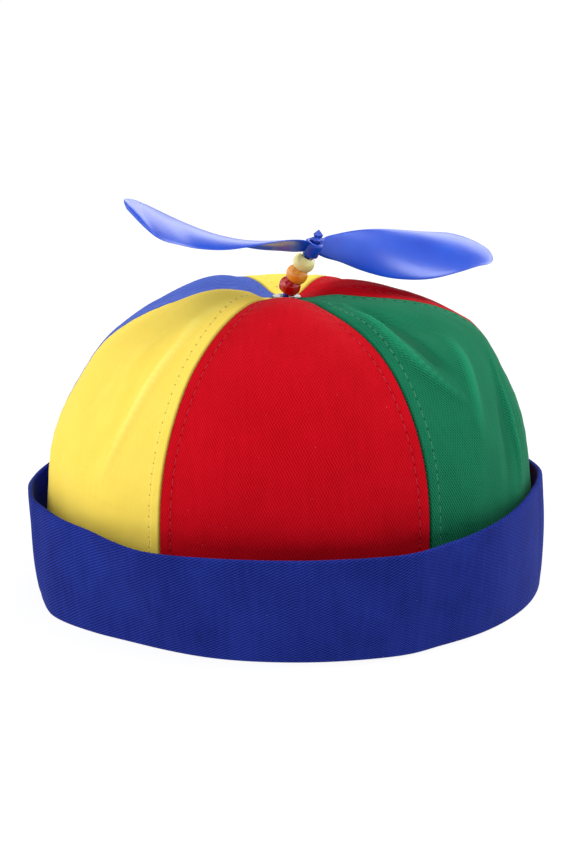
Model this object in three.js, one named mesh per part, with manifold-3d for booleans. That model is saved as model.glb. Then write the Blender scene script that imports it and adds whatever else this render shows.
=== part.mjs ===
// A propeller beanie: a soft six-gore cap with a turned-up cuff, and on its top a metal eyelet, a leaning
// stem with three loose beads, and a two-bladed propeller that spins on the stem.
// Lengths are in millimetres and angles in degrees. +Z is up and -Y is the front. An azimuth is 0 at the
// middle of the front and 90 at +X, the right side as seen from the front.

import * as THREE from 'three';
import { mergeVertices } from 'three/addons/utils/BufferGeometryUtils.js';
import Module from 'manifold-3d';

const wasm = await Module();
wasm.setup();

// Clearances
const SEWN_GAP = 0.3;
const SEAT_GAP = 0.3;
const HEM_GAP = 0.4;
const RUNNING_GAP = 0.3;
const GROOVE_GAP = 0.5;
const COCKED_GAP = 0.3;

// Cuff
const CUFF_RADIUS = 97.4;
const CUFF_HEIGHT = 39.4;
const CUFF_THICKNESS = 2;
const CUFF_FLOOR = 2;
const CUFF_ROLL = 0.8;
const CUFF_BELLY = 0.8;
const INNER_LEG_HEIGHT = 11;

// Crown
const CLOTH = 1.2;
const CROWN_INSET = 4.4;
const DOME_RADIUS = CUFF_RADIUS - CROWN_INSET;
const DOME_START = 38;
const DOME_RISE = 71.9;
const DOME_SQUARENESS = 2.4;
const DIMPLE_RADIUS = 17;
const DIMPLE_DEPTH = 1.6;
const PANEL_PUFF = 5.6;
const PUFF_POWER = 1.5;
const SEAM_DRAW = 4;
const APEX_DRIFT = -1.3;
const CROWN_TURN = 1.3;
const FOLD_HEIGHT = 3;
const FOLD_WIDTH = 10;

// Eyelet
const EYELET_BORE_RADIUS = 2.7;
const EYELET_BARREL = 0.7;
const EYELET_FLANGE_RADIUS = 5.6;
const EYELET_FLANGE = 0.6;

// Beads
const BEAD_DIAMETER = 8.2;
const BEAD_LENGTH = 5;
const BEAD_BORE_RADIUS = 2.05;
const BEAD_FACE_RADIUS = 3.1;

// Stem
const STEM_RADIUS = 1.1;
const STEM_LEAN = 31.2;
const STEM_AZIMUTH = 72;
const STEM_FOOT_OFFSET = -0.5;
const STEM_SEAT_OFFSET = 2.95;
const STEM_SEAT_AZIMUTH = 27;
const DISC_RADIUS = 8;
const DISC_THICKNESS = 1.4;
const HEAD_HEIGHT = 4;
const HEAD_RADIUS = 2.1;
const HEAD_LEAN = 8;
const BARB_REACH = 2.9;
const BARB_HEIGHT = 1.4;

// Propeller
const BLADE_REACH = 81.6;
const BLADE_CHORD = 32;
const BLADE_THICKNESS = 1.1;
const BLADE_CAMBER = 1.4;
const BLADE_RISE = 10;
const BLADE_TURN = 29.2;
const HUB_RISE = 2.6;
const HUB_DROP = 3.1;
const HUB_TOP_RADIUS = 3.4;
const HUB_FOOT_RADIUS = 2.9;
const HUB_BORE_RADIUS = 2.1;
const HUB_LEAN = 22.6;
const HUB_AZIMUTH = 56;

// How the turned-up cuff stands round the hat. foot: share of CUFF_RADIUS at the rolled foot.
// height: share of CUFF_HEIGHT. lean: degrees outwards from upright.
const CUFF_SECTIONS = [
  { azimuth: 0, foot: 1.0, height: 1.0, lean: 11.2 },
  { azimuth: 15, foot: 1.007, height: 1.0, lean: 10.2 },
  { azimuth: 25, foot: 1.013, height: 1.005, lean: 10.4 },
  { azimuth: 33, foot: 0.997, height: 1.02, lean: 9.2 },
  { azimuth: 45, foot: 0.996, height: 1.05, lean: 6 },
  { azimuth: 55, foot: 0.994, height: 1.07, lean: 2.6 },
  { azimuth: 68, foot: 0.994, height: 1.1, lean: 0.2 },
  { azimuth: 82, foot: 0.994, height: 1.09, lean: -0.8 },
  { azimuth: 100, foot: 0.997, height: 1.0, lean: 2 },
  { azimuth: 125, foot: 1.0, height: 0.96, lean: 7 },
  { azimuth: 155, foot: 1.003, height: 0.95, lean: 9 },
  { azimuth: 185, foot: 0.997, height: 0.96, lean: 10 },
  { azimuth: 215, foot: 1.003, height: 0.95, lean: 8 },
  { azimuth: 240, foot: 0.998, height: 0.94, lean: 6 },
  { azimuth: 265, foot: 0.991, height: 0.94, lean: 5 },
  { azimuth: 280, foot: 0.992, height: 1.0, lean: 5.2 },
  { azimuth: 292, foot: 1.012, height: 1.05, lean: 5 },
  { azimuth: 301, foot: 1.032, height: 1.04, lean: 3 },
  { azimuth: 314, foot: 1.004, height: 1.02, lean: 6.5 },
  { azimuth: 323, foot: 0.984, height: 1.0, lean: 12 },
  { azimuth: 331, foot: 0.983, height: 0.995, lean: 14.6 },
  { azimuth: 345, foot: 0.997, height: 1.0, lean: 12.6 },
];

// How far the middle of each gore stands proud of its seams. rise: share of the way along the seam from
// the hem to the tip. puff: share of PANEL_PUFF.
const PUFF_SECTIONS = [
  { rise: 0, puff: 0 },
  { rise: 0.12, puff: 0.15 },
  { rise: 0.3, puff: 0.34 },
  { rise: 0.5, puff: 0.42 },
  { rise: 0.68, puff: 0.62 },
  { rise: 0.81, puff: 1 },
  { rise: 0.9, puff: 0.62 },
  { rise: 0.96, puff: 0.12 },
  { rise: 1, puff: 0 },
];

// How far each seam line stands in or out of the even dome, as shares of SEAM_DRAW, at four places on its
// way from the hem to the tip. SEAM_PLACES gives the places as shares of that way.
const SEAM_PLACES = { low: 0.28, middle: 0.47, high: 0.61, crest: 0.84 };
const SEAMS = [
  { azimuth: 30, low: 0, middle: 0.2, high: 0.4, crest: -0.1 },
  { azimuth: 90, low: -0.4, middle: 0.05, high: 1.3, crest: 0.1 },
  { azimuth: 150, low: 0, middle: 0, high: 0, crest: 0.95 },
  { azimuth: 210, low: 0, middle: 0, high: 0, crest: 0.9 },
  { azimuth: 270, low: -0.4, middle: -0.9, high: -0.1, crest: 0.35 },
  { azimuth: 330, low: 0, middle: -0.3, high: 0, crest: 0.5 },
];

// The gores in their order round the crown, the first at the middle of the front. puff: share of the
// puff that PUFF_SECTIONS gives.
const GORES = [
  { name: 'crown_red_front', colour: 0xc8102e, puff: 0.75 },
  { name: 'crown_green_right_front', colour: 0x0b7a3b, puff: 0.3 },
  { name: 'crown_red_right_back', colour: 0xc8102e, puff: 0.35 },
  { name: 'crown_yellow_back', colour: 0xf2e24a, puff: 0.1 },
  { name: 'crown_blue_left_back', colour: 0x1f3fae, puff: 0.35 },
  { name: 'crown_yellow_left_front', colour: 0xf2e24a, puff: 0.8 },
];

// Soft folds of the crown, each on a curved line with a start, a bend and an end. across: places between
// the gore's left seam at -1 and its right seam at 1. rise: as in PUFF_SECTIONS. width: share of
// FOLD_WIDTH. height: share of FOLD_HEIGHT, below zero for a hollow.
const FOLDS = [
  { gore: 'crown_green_right_front', across: [-0.82, -0.92, -0.52], rise: [0.9, 0.7, 0.53], width: 0.7, height: 0.9 },
  { gore: 'crown_green_right_front', across: [-0.35, -0.25, 0], rise: [0.88, 0.75, 0.6], width: 1, height: -0.8 },
  { gore: 'crown_green_right_front', across: [0.05, -0.5, -0.6], rise: [0.6, 0.43, 0.22], width: 1, height: 0.4 },
  { gore: 'crown_green_right_front', across: [0.72, 0.35, 0.15], rise: [0.58, 0.45, 0.25], width: 0.6, height: 0.6 },
  { gore: 'crown_yellow_left_front', across: [0.5, 0.65, 0.5], rise: [0.9, 0.6, 0.26], width: 1.1, height: 0.5 },
  { gore: 'crown_yellow_left_front', across: [-0.2, 0.15, 0.2], rise: [0.66, 0.5, 0.3], width: 0.9, height: -0.5 },
  { gore: 'crown_red_right_back', across: [0.1, -0.3, -0.6], rise: [0.94, 0.88, 0.76], width: 0.8, height: 0.7 },
  { gore: 'crown_red_right_back', across: [0.6, 0.4, 0.2], rise: [0.9, 0.8, 0.66], width: 1, height: -0.5 },
  { gore: 'crown_blue_left_back', across: [-0.3, 0.15, 0.17], rise: [0.94, 0.85, 0.7], width: 0.8, height: 0.6 },
  { gore: 'crown_yellow_back', across: [-0.4, -0.2, -0.1], rise: [0.8, 0.6, 0.4], width: 1.2, height: -0.5 },
  { gore: 'crown_red_front', across: [-0.4, -0.3, -0.1], rise: [0.5, 0.3, 0.1], width: 1.4, height: -0.3 },
];

// The blades from root to tip. reach: share of BLADE_REACH. lead and trail: shares of BLADE_CHORD on the
// two sides of the blade's own line. pitch: degrees that the chord is turned. right and left: each blade's
// own soft bend upwards, as shares of BLADE_RISE.
const BLADE_SECTIONS = [
  { reach: 0.03, lead: 0.09, trail: 0.069, pitch: 65, right: 0, left: 0 },
  { reach: 0.07, lead: 0.144, trail: 0.103, pitch: 60, right: 0.01, left: -0.01 },
  { reach: 0.15, lead: 0.197, trail: 0.15, pitch: 49, right: 0.03, left: -0.02 },
  { reach: 0.25, lead: 0.256, trail: 0.265, pitch: 37, right: 0.08, left: -0.05 },
  { reach: 0.4, lead: 0.328, trail: 0.438, pitch: 22.5, right: 0.19, left: -0.08 },
  { reach: 0.55, lead: 0.39, trail: 0.54, pitch: 11, right: 0.3, left: -0.03 },
  { reach: 0.7, lead: 0.41, trail: 0.54, pitch: 2.6, right: 0.46, left: 0.14 },
  { reach: 0.82, lead: 0.45, trail: 0.47, pitch: -1.6, right: 0.54, left: 0.4 },
  { reach: 0.92, lead: 0.5, trail: 0.41, pitch: -3.5, right: 0.56, left: 0.63 },
  { reach: 0.97, lead: 0.55, trail: 0.37, pitch: -3.9, right: 0.57, left: 0.8 },
  { reach: 1, lead: 0.56, trail: 0.34, pitch: -3.9, right: 0.57, left: 0.9 },
];

const BEADS = [
  { name: 'bead_red', colour: 0xb3121a },
  { name: 'bead_orange', colour: 0xf57c12 },
  { name: 'bead_yellow', colour: 0xe8d873 },
];
const CUFF_COLOUR = 0x1b34a0;
const METAL_COLOUR = 0xb9bcc0;
const PLASTIC_COLOUR = 0x1c3fc4;

// Where the folds fade out near the hem and the tip, where the seams come back to the even dome, how much
// of a fold is left at its two ends, and how squarely the folds stop at the seams
const HEM_HOLD = 0.12;
const TIP_HOLD = 0.9;
const DRAW_END = 0.95;
const FOLD_END = 0.3;
const SEAM_HOLD = 4;

// Shares of the cuff's height at the points of its outline, the last where its top edge starts to round
const CUFF_LEVELS = [0.35, 0.7, 0.975];

// How the blade's rings crowd towards the tip, the share of its reach where the tip starts to round off,
// the share of its width left at the very end, and how square its long edges are
const TIP_CROWDING = 1.8;
const TIP_START = 0.86;
const TIP_LEFT = 0.12;
const EDGE_SQUARENESS = 4;

// How finely the pieces are divided
const GORE_COLUMNS = 12;
const WALL_ROWS = 4;
const DOME_ROWS = 11;
const DIMPLE_ROWS = 2;
const CUFF_COLUMNS = 72;
const BLADE_RINGS = 17;
const CHORD_STEPS = 7;
const FOLD_STEPS = 12;
const EYELET_SIDES = 20;
const BEAD_SIDES = 14;
const BEAD_ROWS = 6;
const STEM_SIDES = 10;
const STEM_STEPS = 12;
const HUB_SIDES = 18;
const HEAD_SIDES = 6;
const BARB_COUNT = 4;
const WELD_DISTANCE = 1e-4;

const { degToRad, lerp, clamp, smoothstep } = THREE.MathUtils;
const UP = new THREE.Vector3(0, 0, 1);
const GORE_ANGLE = 360 / GORES.length;

// Sizes that follow from the ones above
const HEM = CUFF_FLOOR + HEM_GAP;
const DOME_TOP = DOME_START + DOME_RISE;
const TIP_HEIGHT = DOME_TOP - DIMPLE_DEPTH;
const TIP_RADIUS = EYELET_BORE_RADIUS + EYELET_BARREL + SEAT_GAP;
const GRIP_RADIUS = EYELET_FLANGE_RADIUS + SEAT_GAP;
const DIMPLE_ANGLE = Math.acos((DIMPLE_RADIUS / DOME_RADIUS) ** (DOME_SQUARENESS / 2));
const EYELET_SLOT = CLOTH / 2 + SEAT_GAP;
const EYELET_HALF = EYELET_SLOT + EYELET_FLANGE;
const APEX = new THREE.Vector3(APEX_DRIFT, 0, TIP_HEIGHT - CLOTH / 2);

// A point at an azimuth, a distance from the upright axis and a height.
function polar(azimuth, radius, height) {
  const angle = degToRad(azimuth);
  return new THREE.Vector3(radius * Math.sin(angle), -radius * Math.cos(angle), height);
}

// A direction that leans from upright towards an azimuth.
function leaning(lean, azimuth) {
  return polar(azimuth, Math.sin(degToRad(lean)), Math.cos(degToRad(lean)));
}

// One column of a table at a place between its rows, on a smooth curve through them. A round table starts
// again after 360 degrees.
function readTable(table, key, place, column, round = false) {
  const row = (index) => {
    const turns = round ? Math.floor(index / table.length) : 0;
    const source = table[round ? index - turns * table.length : clamp(index, 0, table.length - 1)];
    return { at: source[key] + turns * 360, value: source[column] };
  };
  const lastStart = table.length - (round ? 1 : 2);
  let start = 0;
  while (start < lastStart && row(start + 1).at <= place) {
    start += 1;
  }
  const [before, from, to, after] = [-1, 0, 1, 2].map((step) => row(start + step));
  const span = to.at - from.at;
  const share = clamp((place - from.at) / span, 0, 1);
  const slope = (low, high) => ((high.value - low.value) / Math.max(high.at - low.at, span / 2)) * span;
  const ease = share * share * (3 - 2 * share);
  const leave = share * (1 - share) ** 2;
  const arrive = share * share * (share - 1);
  return lerp(from.value, to.value, ease) + leave * slope(before, to) + arrive * slope(from, after);
}

// A closed mesh from its points and triangles.
function meshGeometry(points, triangles) {
  const geometry = new THREE.BufferGeometry();
  const positions = points.flatMap((point) => point.toArray());
  geometry.setAttribute('position', new THREE.Float32BufferAttribute(positions, 3));
  geometry.setIndex(triangles.flat());
  geometry.computeVertexNormals();
  return geometry;
}

// A wall between an outer and an inner grid of points, closed along its four edges. Seen from outside,
// the columns run to the right and the rows upwards.
function wallGeometry(outer, inner) {
  const rows = outer.length;
  const columns = outer[0].length;
  const outside = ([row, column]) => row * columns + column;
  const inside = (place) => rows * columns + outside(place);
  const triangles = [];
  for (let row = 0; row < rows - 1; row += 1) {
    for (let column = 0; column < columns - 1; column += 1) {
      const corners = [[row, column], [row, column + 1], [row + 1, column + 1], [row + 1, column]];
      const [a, b, c, d] = corners.map(outside);
      const [e, f, g, h] = corners.map(inside);
      triangles.push([a, b, c], [a, c, d], [e, g, f], [e, h, g]);
    }
  }
  const border = [];
  for (let column = 0; column < columns - 1; column += 1) {
    border.push([0, column]);
  }
  for (let row = 0; row < rows - 1; row += 1) {
    border.push([row, columns - 1]);
  }
  for (let column = columns - 1; column > 0; column -= 1) {
    border.push([rows - 1, column]);
  }
  for (let row = rows - 1; row > 0; row -= 1) {
    border.push([row, 0]);
  }
  border.forEach((place, index) => {
    const next = border[(index + 1) % border.length];
    triangles.push([outside(next), outside(place), inside(place)]);
    triangles.push([outside(next), inside(place), inside(next)]);
  });
  return meshGeometry([...outer.flat(), ...inner.flat()], triangles);
}

// A closed skin over a row of rings, each with as many points. The row runs round into itself, or it ends
// in two flat caps.
function ringGeometry(rings, round) {
  const size = rings[0].length;
  const triangles = [];
  const spans = round ? rings.length : rings.length - 1;
  for (let ring = 0; ring < spans; ring += 1) {
    for (let step = 0; step < size; step += 1) {
      const here = ring * size;
      const there = ((ring + 1) % rings.length) * size;
      const after = (step + 1) % size;
      triangles.push([here + step, there + step, there + after]);
      triangles.push([here + step, there + after, here + after]);
    }
  }
  if (!round) {
    const last = (rings.length - 1) * size;
    for (let step = 1; step < size - 1; step += 1) {
      triangles.push([0, step, step + 1]);
      triangles.push([last, last + step + 1, last + step]);
    }
  }
  return meshGeometry(rings.flat(), triangles);
}

// A turned piece that stands along +Z, from [radius, height] pairs that start and end on its axis or that
// come back to the first pair.
function turned(outline, sides) {
  const points = outline.map(([radius, height]) => new THREE.Vector2(radius, height));
  return new THREE.LatheGeometry(points, sides).rotateX(Math.PI / 2);
}

function toSolid(geometry) {
  const plain = geometry.clone();
  plain.deleteAttribute('normal');
  plain.deleteAttribute('uv');
  const merged = mergeVertices(plain, WELD_DISTANCE);
  return new wasm.Manifold(new wasm.Mesh({
    numProp: 3,
    vertProperties: new Float32Array(merged.attributes.position.array),
    triVerts: new Uint32Array(merged.index.array),
  }));
}

// Several overlapping shapes joined into one body.
function joined(geometries) {
  const mesh = geometries.map(toSolid).reduce((whole, piece) => whole.add(piece)).getMesh();
  const geometry = new THREE.BufferGeometry();
  geometry.setAttribute('position', new THREE.Float32BufferAttribute(mesh.vertProperties, 3));
  geometry.setIndex([...mesh.triVerts]);
  geometry.computeVertexNormals();
  return geometry;
}

function piece(name, geometry, color, roughness, metalness) {
  const mesh = new THREE.Mesh(geometry, new THREE.MeshStandardMaterial({ color, roughness, metalness }));
  mesh.name = name;
  return mesh;
}

// The cuff at one azimuth: its foot radius, its height up the slant and its lean in radians.
function cuffSection(azimuth) {
  const read = (column) => readTable(CUFF_SECTIONS, 'azimuth', (azimuth + 360) % 360, column, true);
  return {
    foot: CUFF_RADIUS * read('foot'),
    height: CUFF_HEIGHT * read('height'),
    lean: degToRad(read('lean')),
  };
}

// The crown's outside radius on its wall, between the hem inside the cuff's foot and the start of the dome.
function wallRadius(azimuth, height) {
  const hemRadius = cuffSection(azimuth).foot - CUFF_THICKNESS - GROOVE_GAP;
  return lerp(hemRadius, DOME_RADIUS, smoothstep(height, HEM, DOME_START));
}

// A seam's [radius, height] pairs at one azimuth: up the wall, over the dome, down into the dimple, and in
// across the flat ring that the eyelet grips.
function seamLine(azimuth) {
  const line = [];
  for (let row = 0; row < WALL_ROWS; row += 1) {
    const height = lerp(HEM, DOME_START, row / WALL_ROWS);
    line.push([wallRadius(azimuth, height), height]);
  }
  for (let row = 0; row < DOME_ROWS; row += 1) {
    const angle = (row / DOME_ROWS) * DIMPLE_ANGLE;
    const radius = DOME_RADIUS * Math.cos(angle) ** (2 / DOME_SQUARENESS);
    line.push([radius, DOME_START + DOME_RISE * Math.sin(angle) ** (2 / DOME_SQUARENESS)]);
  }
  const edgeHeight = DOME_START + DOME_RISE * Math.sin(DIMPLE_ANGLE) ** (2 / DOME_SQUARENESS);
  for (let row = 0; row <= DIMPLE_ROWS; row += 1) {
    const radius = lerp(DIMPLE_RADIUS, GRIP_RADIUS, row / DIMPLE_ROWS);
    line.push([radius, lerp(TIP_HEIGHT, edgeHeight, smoothstep(radius, GRIP_RADIUS, DIMPLE_RADIUS))]);
  }
  line.push([TIP_RADIUS, TIP_HEIGHT]);
  return line;
}

// The distance from the hem at each point of the front seam line, and the whole way.
function seamDistances() {
  let way = 0;
  return seamLine(0).map(([radius, height], index, line) => {
    const [lastRadius, lastHeight] = line[Math.max(index - 1, 0)];
    way += Math.hypot(radius - lastRadius, height - lastHeight);
    return way;
  });
}

const SEAM_DISTANCES = seamDistances();
const SEAM_LENGTH = SEAM_DISTANCES.at(-1);

// A fold's height at one place of its gore: full on its line, easing off to both sides and to its ends.
function foldHeight(fold, across, rise, radius) {
  const halfWidth = degToRad(GORE_ANGLE / 2) * radius;
  const points = fold.across.map((place, index) => new THREE.Vector2(place, fold.rise[index]));
  const line = new THREE.QuadraticBezierCurve(...points);
  let nearest = Infinity;
  let nearestShare = 0;
  line.getPoints(FOLD_STEPS).forEach((point, index) => {
    const distance = Math.hypot((across - point.x) * halfWidth, (rise - point.y) * SEAM_LENGTH);
    if (distance < nearest) {
      nearest = distance;
      nearestShare = index / FOLD_STEPS;
    }
  });
  const ends = lerp(FOLD_END, 1, Math.sin(Math.PI * nearestShare));
  return FOLD_HEIGHT * fold.height * ends * Math.exp(-((nearest / (FOLD_WIDTH * fold.width)) ** 2));
}

// How far the seams draw the cloth in or out at an azimuth and a share of the way from hem to tip.
function seamDraw(azimuth, rise) {
  const read = (column) => readTable(SEAMS, 'azimuth', (azimuth + 360) % 360, column, true);
  const places = [
    { rise: 0, draw: 0 },
    { rise: HEM_HOLD, draw: 0 },
    ...Object.entries(SEAM_PLACES).map(([column, place]) => ({ rise: place, draw: read(column) })),
    { rise: DRAW_END, draw: 0 },
    { rise: 1, draw: 0 },
  ];
  return SEAM_DRAW * readTable(places, 'rise', rise, 'draw');
}

// One gore: a cloth wall between two seams, puffed out at its middle and folded.
function gore({ name, colour, puff }, index) {
  const folds = FOLDS.filter((fold) => fold.gore === name);
  const outer = SEAM_DISTANCES.map(() => []);
  const inner = SEAM_DISTANCES.map(() => []);
  for (let column = 0; column <= GORE_COLUMNS; column += 1) {
    const across = (2 * column) / GORE_COLUMNS - 1;
    const panelAzimuth = GORE_ANGLE * (index + across / 2);
    const line = seamLine(panelAzimuth + CROWN_TURN);
    const proud = line.map(([radius, height], row) => {
      const rise = SEAM_DISTANCES[row] / SEAM_LENGTH;
      const fullest = PANEL_PUFF * puff * readTable(PUFF_SECTIONS, 'rise', rise, 'puff');
      const puffed = fullest * (1 - across ** 2) ** PUFF_POWER;
      const folded = folds.reduce((sum, fold) => sum + foldHeight(fold, across, rise, radius), 0);
      const alive = smoothstep(rise, 0, HEM_HOLD) * (1 - smoothstep(rise, TIP_HOLD, 1));
      const held = alive * (1 - across ** SEAM_HOLD);
      const [along, up] = facing(line, row);
      const gripped = row >= line.length - 2;
      const lift = gripped ? 0 : puffed + seamDraw(panelAzimuth, rise) + folded * held;
      return [radius + along * lift, height + up * lift];
    });
    proud.forEach(([radius, height], row) => {
      const [along, up] = facing(proud, row);
      const halfAngle = GORE_ANGLE / 2 - THREE.MathUtils.radToDeg(SEWN_GAP / 2 / radius);
      const azimuth = CROWN_TURN + GORE_ANGLE * index + across * halfAngle;
      outer[row].push(onCrown(azimuth, radius, height));
      inner[row].push(onCrown(azimuth, radius - along * CLOTH, height - up * CLOTH));
    });
  }
  return piece(name, wallGeometry(outer, inner), colour, 0.85, 0);
}

// The outward direction of a [radius, height] line at one of its points. The flat ring at the tip faces up.
function facing(line, row) {
  if (row >= line.length - 2) {
    return [0, 1];
  }
  const [fromRadius, fromHeight] = line[Math.max(row - 1, 0)];
  const [toRadius, toHeight] = line[row + 1];
  const length = Math.hypot(toRadius - fromRadius, toHeight - fromHeight);
  return [(toHeight - fromHeight) / length, (fromRadius - toRadius) / length];
}

// A point of the crown, whose top drifts a little to one side.
function onCrown(azimuth, radius, height) {
  const point = polar(azimuth, radius, height);
  point.x += APEX_DRIFT * smoothstep(height, DOME_START, TIP_HEIGHT - CLOTH);
  return point;
}

// The cuff: one band of doubled cloth with a rolled flat foot, a tall outer leg that leans out, and a short
// inner leg inside the crown. The crown's hem stands in the groove between them.
function cuff() {
  const rings = [];
  for (let column = 0; column < CUFF_COLUMNS; column += 1) {
    const azimuth = CROWN_TURN + (360 * column) / CUFF_COLUMNS;
    const { foot, height, lean } = cuffSection(azimuth);
    const leg = (share, depth) => {
      const belly = CUFF_BELLY * 4 * share * (1 - share);
      const up = height * share;
      return [
        foot + up * Math.sin(lean) + (belly - depth) * Math.cos(lean),
        up * Math.cos(lean) - (belly - depth) * Math.sin(lean),
      ];
    };
    const inside = (level) => wallRadius(azimuth, level) - CLOTH - GROOVE_GAP;
    const rollMiddle = CUFF_ROLL * (1 - Math.SQRT1_2);
    const outline = [
      [foot - CUFF_ROLL, 0],
      [foot - rollMiddle, rollMiddle],
      [foot, CUFF_ROLL],
      ...CUFF_LEVELS.map((share) => leg(share, 0)),
      leg(1, CUFF_THICKNESS / 2),
      ...CUFF_LEVELS.toReversed().map((share) => leg(share, CUFF_THICKNESS)),
      [foot - CUFF_THICKNESS, CUFF_FLOOR],
      [inside(HEM), CUFF_FLOOR],
      [inside(INNER_LEG_HEIGHT), INNER_LEG_HEIGHT],
      [inside(INNER_LEG_HEIGHT) - CUFF_THICKNESS, INNER_LEG_HEIGHT],
      [inside(HEM) - CUFF_THICKNESS, CUFF_ROLL],
      [inside(HEM) - CUFF_THICKNESS + CUFF_ROLL, 0],
    ];
    rings.push(outline.map(([radius, level]) => polar(azimuth, radius, level)));
  }
  return piece('cuff', ringGeometry(rings, true), CUFF_COLOUR, 0.85, 0);
}

// The eyelet: two rolled flanges on a short barrel, clamped over and under the tips of the gores.
function eyelet() {
  const barrel = EYELET_BORE_RADIUS + EYELET_BARREL;
  const crest = (EYELET_BORE_RADIUS + EYELET_FLANGE_RADIUS) / 2;
  const roll = EYELET_FLANGE / 2;
  const start = [EYELET_BORE_RADIUS, -EYELET_HALF + roll];
  const geometry = turned([
    start,
    [EYELET_BORE_RADIUS + roll, -EYELET_HALF],
    [EYELET_FLANGE_RADIUS - roll, -EYELET_HALF],
    [EYELET_FLANGE_RADIUS, -EYELET_SLOT],
    [barrel, -EYELET_SLOT],
    [barrel, EYELET_SLOT],
    [EYELET_FLANGE_RADIUS, EYELET_SLOT],
    [EYELET_FLANGE_RADIUS - roll / 2, EYELET_SLOT + roll],
    [crest, EYELET_HALF],
    [EYELET_BORE_RADIUS + roll, EYELET_HALF - roll / 2],
    [EYELET_BORE_RADIUS, EYELET_SLOT],
    start,
  ], EYELET_SIDES);
  const mesh = piece('eyelet', geometry, METAL_COLOUR, 0.3, 1);
  mesh.position.copy(APEX);
  return mesh;
}

// A bead's outside radius at a distance from its middle, on an ellipse that is cut off at its two faces.
const BEAD_LONG_HALF = (BEAD_LENGTH / 2) / Math.sqrt(1 - (2 * BEAD_FACE_RADIUS / BEAD_DIAMETER) ** 2);
const beadRadiusAt = (place) => (BEAD_DIAMETER / 2) * Math.sqrt(1 - (place / BEAD_LONG_HALF) ** 2);

// The stem leaves the eyelet and then runs straight. The first bead touches down on the eyelet's rim.
const STEM_DIRECTION = leaning(STEM_LEAN, STEM_AZIMUTH);
const BEAD_SEAT = (BEAD_LENGTH / 2) * Math.cos(degToRad(STEM_LEAN))
  + BEAD_FACE_RADIUS * Math.sin(degToRad(STEM_LEAN));
const FIRST_BEAD = polar(STEM_SEAT_AZIMUTH, STEM_SEAT_OFFSET, EYELET_HALF + SEAT_GAP + BEAD_SEAT).add(APEX);
const BEAD_PITCH = BEAD_LENGTH + RUNNING_GAP;
const alongStem = (distance) => FIRST_BEAD.clone().addScaledVector(STEM_DIRECTION, distance);

// The hub stands on the last bead, cocked on the stem, and the stem's head stands clear of the hub.
const HUB_DIRECTION = leaning(HUB_LEAN, HUB_AZIMUTH);
const HUB_COCK = STEM_DIRECTION.angleTo(HUB_DIRECTION);
const HUB_MIDDLE = (BEADS.length - 0.5) * BEAD_PITCH + HUB_FOOT_RADIUS * Math.sin(HUB_COCK)
  + HUB_DROP * Math.cos(HUB_COCK) + COCKED_GAP;
const HEAD_DIRECTION = leaning(HEAD_LEAN, STEM_AZIMUTH);
const HEAD_TILT = HEAD_DIRECTION.angleTo(HUB_DIRECTION);
const HEAD_FOOT = HUB_MIDDLE + HUB_RISE + RUNNING_GAP + BARB_REACH * Math.sin(HEAD_TILT);

function bead({ name, colour }, index) {
  const bore = [BEAD_BORE_RADIUS, -BEAD_LENGTH / 2];
  const outline = [bore];
  for (let row = 0; row <= BEAD_ROWS; row += 1) {
    const place = (row / BEAD_ROWS - 0.5) * BEAD_LENGTH;
    outline.push([beadRadiusAt(place), place]);
  }
  outline.push([BEAD_BORE_RADIUS, BEAD_LENGTH / 2], bore);
  const mesh = piece(name, turned(outline, BEAD_SIDES), colour, 0.2, 0);
  mesh.position.copy(alongStem(index * BEAD_PITCH));
  mesh.quaternion.setFromUnitVectors(UP, STEM_DIRECTION);
  return mesh;
}

// The stem: a disc under the eyelet, a shaft up through everything, and a faceted head with barbs that
// keeps the propeller on.
function stem() {
  const disc = new THREE.CylinderGeometry(DISC_RADIUS, DISC_RADIUS, DISC_THICKNESS, EYELET_SIDES);
  const discMiddle = -EYELET_HALF - SEAT_GAP - DISC_THICKNESS / 2;
  disc.rotateX(Math.PI / 2).translate(APEX.x, APEX.y, APEX.z + discMiddle);
  const foot = polar(STEM_AZIMUTH, STEM_FOOT_OFFSET, discMiddle).add(APEX);
  const inBore = polar(STEM_AZIMUTH, STEM_FOOT_OFFSET, -EYELET_SLOT).add(APEX);
  const underBead = alongStem(-BEAD_LENGTH / 2);
  const head = alongStem(HEAD_FOOT + BARB_HEIGHT / 2);
  const inBeads = [alongStem(0), alongStem(BEAD_PITCH)];
  const path = new THREE.CatmullRomCurve3([foot, inBore, underBead, ...inBeads, head]);
  const section = new THREE.Shape().absarc(0, 0, STEM_RADIUS, 0, 2 * Math.PI);
  const shaft = new THREE.ExtrudeGeometry(section, {
    extrudePath: path,
    steps: STEM_STEPS,
    curveSegments: STEM_SIDES / 2,
  });
  const barbs = turned([
    [0, 0],
    [BARB_REACH, 0],
    [BARB_REACH, BARB_HEIGHT / 4],
    [HEAD_RADIUS / 2, BARB_HEIGHT],
    [0, BARB_HEIGHT],
  ], BARB_COUNT);
  const tip = turned([
    [0, BARB_HEIGHT / 3],
    [HEAD_RADIUS / 2, BARB_HEIGHT / 3],
    [HEAD_RADIUS, HEAD_HEIGHT / 2],
    [0, HEAD_HEIGHT],
  ], HEAD_SIDES);
  const place = new THREE.Matrix4().makeRotationFromQuaternion(
    new THREE.Quaternion().setFromUnitVectors(UP, HEAD_DIRECTION),
  ).setPosition(alongStem(HEAD_FOOT));
  const geometry = joined([disc, shaft, barbs.applyMatrix4(place), tip.applyMatrix4(place)]);
  return piece('stem', geometry, PLASTIC_COLOUR, 0.25, 0);
}

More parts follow.
